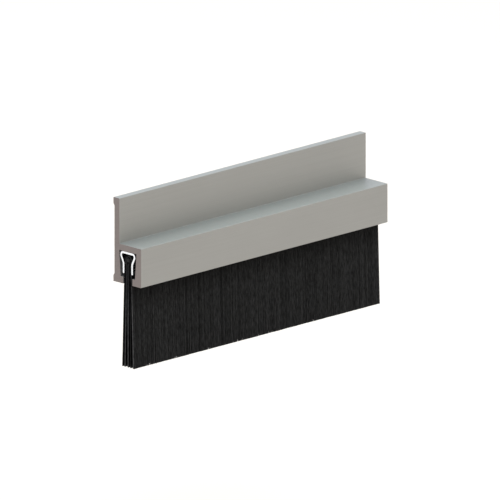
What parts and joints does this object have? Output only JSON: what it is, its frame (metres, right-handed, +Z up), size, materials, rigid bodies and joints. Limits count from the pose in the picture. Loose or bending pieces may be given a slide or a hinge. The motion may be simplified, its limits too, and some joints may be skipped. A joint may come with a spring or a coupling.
{
  "type": "door sweep",
  "caption": "Door sweep: an h-shaped aluminium carrier, taped to a door along its back, holds a slide-in strip brush whose black filaments close the gap under the door.",
  "frame": {"origin": "centre of the tape recess in the carrier's back face", "axes": "+X along the sweep, +Y out of the back face towards the door, +Z up"},
  "size_m": [0.1, 0.0112, 0.0498],
  "materials": {
    "anodised_aluminium": "satin silver anodised extrusion, saw-cut ends",
    "plated_steel": "bright zinc-plated folded strip",
    "steel_wire": "drawn steel wire",
    "black_nylon": "black nylon filaments, slight sheen"
  },
  "bodies": {
    "carrier": {"carrier": "anodised_aluminium"},
    "brush_insert": {"brush_channel": "plated_steel", "core_wire": "steel_wire", "bristle_fold_outer": "black_nylon", "bristle_fold_middle": "black_nylon", "bristle_fold_inner": "black_nylon"},
    "leaf_1": {"bristle_leaf_1": "black_nylon"},
    "leaf_2": {"bristle_leaf_2": "black_nylon"},
    "leaf_3": {"bristle_leaf_3": "black_nylon"},
    "leaf_4": {"bristle_leaf_4": "black_nylon"},
    "leaf_5": {"bristle_leaf_5": "black_nylon"}
  },
  "joints": [
    {"name": "brush_slide", "type": "slide", "parent": "carrier", "child": "brush_insert", "axis": [1, 0, 0], "range_m": [-0.1, 0.1]},
    {"name": "bend_1", "type": "hinge", "parent": "brush_insert", "child": "leaf_1", "pos_m": [0, -0.00686, -0.0131], "axis": [1, 0, 0], "range_deg": [-45, 45], "stiffness_Nm_per_rad": 0.022},
    {"name": "bend_2", "type": "hinge", "parent": "brush_insert", "child": "leaf_2", "pos_m": [0, -0.00614, -0.0131], "axis": [1, 0, 0], "range_deg": [-45, 45], "stiffness_Nm_per_rad": 0.022},
    {"name": "bend_3", "type": "hinge", "parent": "brush_insert", "child": "leaf_3", "pos_m": [0, -0.00542, -0.0131], "axis": [1, 0, 0], "range_deg": [-45, 45], "stiffness_Nm_per_rad": 0.022},
    {"name": "bend_4", "type": "hinge", "parent": "brush_insert", "child": "leaf_4", "pos_m": [0, -0.0047, -0.0131], "axis": [1, 0, 0], "range_deg": [-45, 45], "stiffness_Nm_per_rad": 0.022},
    {"name": "bend_5", "type": "hinge", "parent": "brush_insert", "child": "leaf_5", "pos_m": [0, -0.00398, -0.0131], "axis": [1, 0, 0], "range_deg": [-45, 45], "stiffness_Nm_per_rad": 0.022}
  ],
  "couplings": [
    {"joint": "bend_1", "follows": "bend_3", "ratio": 1},
    {"joint": "bend_2", "follows": "bend_3", "ratio": 1},
    {"joint": "bend_4", "follows": "bend_3", "ratio": 1},
    {"joint": "bend_5", "follows": "bend_3", "ratio": 1}
  ]
}
